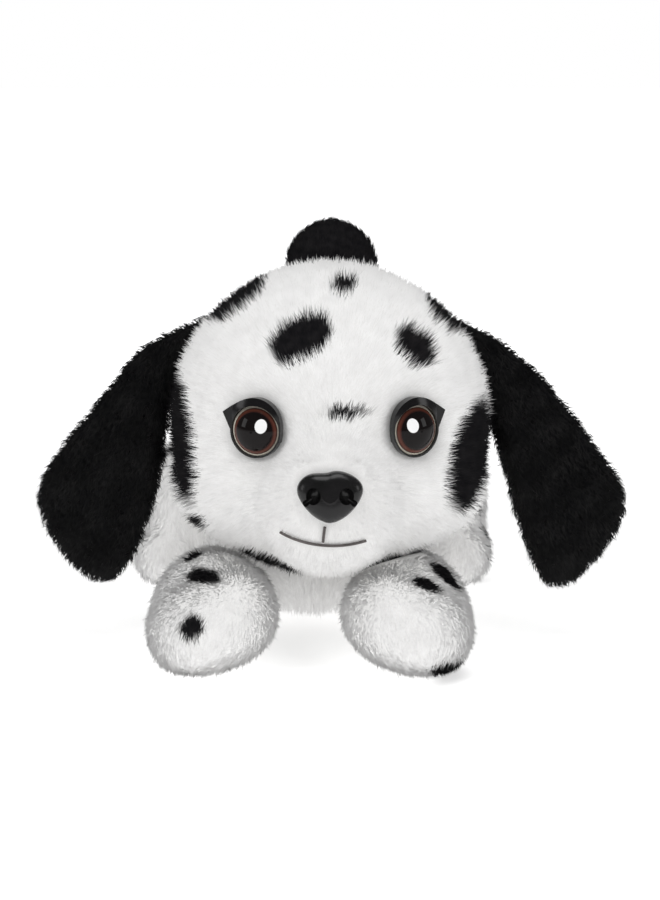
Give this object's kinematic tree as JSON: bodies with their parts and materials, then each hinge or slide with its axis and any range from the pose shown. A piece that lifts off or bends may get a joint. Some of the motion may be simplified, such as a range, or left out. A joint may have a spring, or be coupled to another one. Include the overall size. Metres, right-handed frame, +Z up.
{
  "type": "plush dog",
  "caption": "Lying plush dalmatian puppy with a round turning head, floppy hinged ears, glossy safety eyes and nose, swinging legs and a wagging tail.",
  "frame": {"origin": "on the floor under the middle of the belly", "axes": "+Z up, the puppy faces -Y, +X is the puppy's own left side"},
  "size_m": [0.248, 0.2439, 0.1618],
  "materials": {
    "white_plush": "matt",
    "black_plush": "matt",
    "stuffing": "matt",
    "eye_black": "gloss",
    "eye_print": "gloss",
    "eye_clear": "gloss",
    "nose_black": "satin",
    "washer_white": "satin",
    "thread": "matt",
    "white_thread": "matt"
  },
  "bodies": {
    "torso": {"torso_side_left": "white_plush", "torso_side_right": "white_plush", "chest_panel": "white_plush", "belly_panel": "white_plush", "torso_stuffing": "stuffing"},
    "neck": {"neck_seam": "white_thread"},
    "head": {"head_gusset": "white_plush", "head_side_left": "white_plush", "head_side_right": "white_plush", "muzzle_panel": "white_plush", "chin_panel": "white_plush", "head_stuffing": "stuffing", "eye_left_lid": "eye_black", "eye_left_disc": "eye_print", "eye_left_lens": "eye_clear", "eye_left_washer": "washer_white", "eye_right_lid": "eye_black", "eye_right_disc": "eye_print", "eye_right_lens": "eye_clear", "eye_right_washer": "washer_white", "nose": "nose_black", "nose_washer": "washer_white", "mouth_stitch": "thread", "philtrum_stitch": "thread"},
    "ear_left": {"ear_left_lining": "black_plush", "ear_left_back": "black_plush"},
    "ear_right": {"ear_right_lining": "black_plush", "ear_right_back": "black_plush"},
    "tail": {"tail_base_panel": "white_plush", "tail_tip_panel": "black_plush", "tail_stuffing": "stuffing"},
    "foreleg_left": {"foreleg_left_outer": "white_plush", "foreleg_left_inner": "white_plush", "foreleg_left_sole": "white_plush", "foreleg_left_stuffing": "stuffing"},
    "foreleg_right": {"foreleg_right_outer": "white_plush", "foreleg_right_inner": "white_plush", "foreleg_right_sole": "white_plush", "foreleg_right_stuffing": "stuffing"},
    "hindleg_left": {"hindleg_left_panel": "white_plush", "hindleg_left_sole": "white_plush", "hindleg_left_stuffing": "stuffing"},
    "hindleg_right": {"hindleg_right_panel": "white_plush", "hindleg_right_sole": "white_plush", "hindleg_right_stuffing": "stuffing"}
  },
  "joints": [
    {"name": "head_turn", "type": "hinge", "parent": "torso", "child": "neck", "pos_m": [0.008, -0.07, 0.094], "axis": [0, 0, 1], "range_deg": [-12, 12]},
    {"name": "head_nod", "type": "hinge", "parent": "neck", "child": "head", "pos_m": [0.008, -0.07, 0.094], "axis": [1, 0, 0], "range_deg": [-12, 6]},
    {"name": "ear_left_fold", "type": "hinge", "parent": "head", "child": "ear_left", "pos_m": [0.061, -0.062, 0.14], "axis": [0.4315, 0, -0.9021], "range_deg": [-40, 50]},
    {"name": "ear_right_fold", "type": "hinge", "parent": "head", "child": "ear_right", "pos_m": [-0.045, -0.062, 0.14], "axis": [0.4315, 0, 0.9021], "range_deg": [-40, 50]},
    {"name": "tail_wag", "type": "hinge", "parent": "torso", "child": "tail", "pos_m": [0.003, 0.064, 0.084], "axis": [0, 1, 0], "range_deg": [-18, 18]},
    {"name": "foreleg_left_swing", "type": "hinge", "parent": "torso", "child": "foreleg_left", "pos_m": [0.04, -0.044, 0.0165], "axis": [0, 0, 1], "range_deg": [-3, 18]},
    {"name": "foreleg_right_swing", "type": "hinge", "parent": "torso", "child": "foreleg_right", "pos_m": [-0.04, -0.044, 0.0165], "axis": [0, 0, -1], "range_deg": [-3, 18]},
    {"name": "hindleg_left_kick", "type": "hinge", "parent": "torso", "child": "hindleg_left", "pos_m": [0.06, 0.056, 0.032], "axis": [-1, 0, 0], "range_deg": [-8, 25]},
    {"name": "hindleg_right_kick", "type": "hinge", "parent": "torso", "child": "hindleg_right", "pos_m": [-0.06, 0.056, 0.032], "axis": [-1, 0, 0], "range_deg": [-8, 25]}
  ]
}
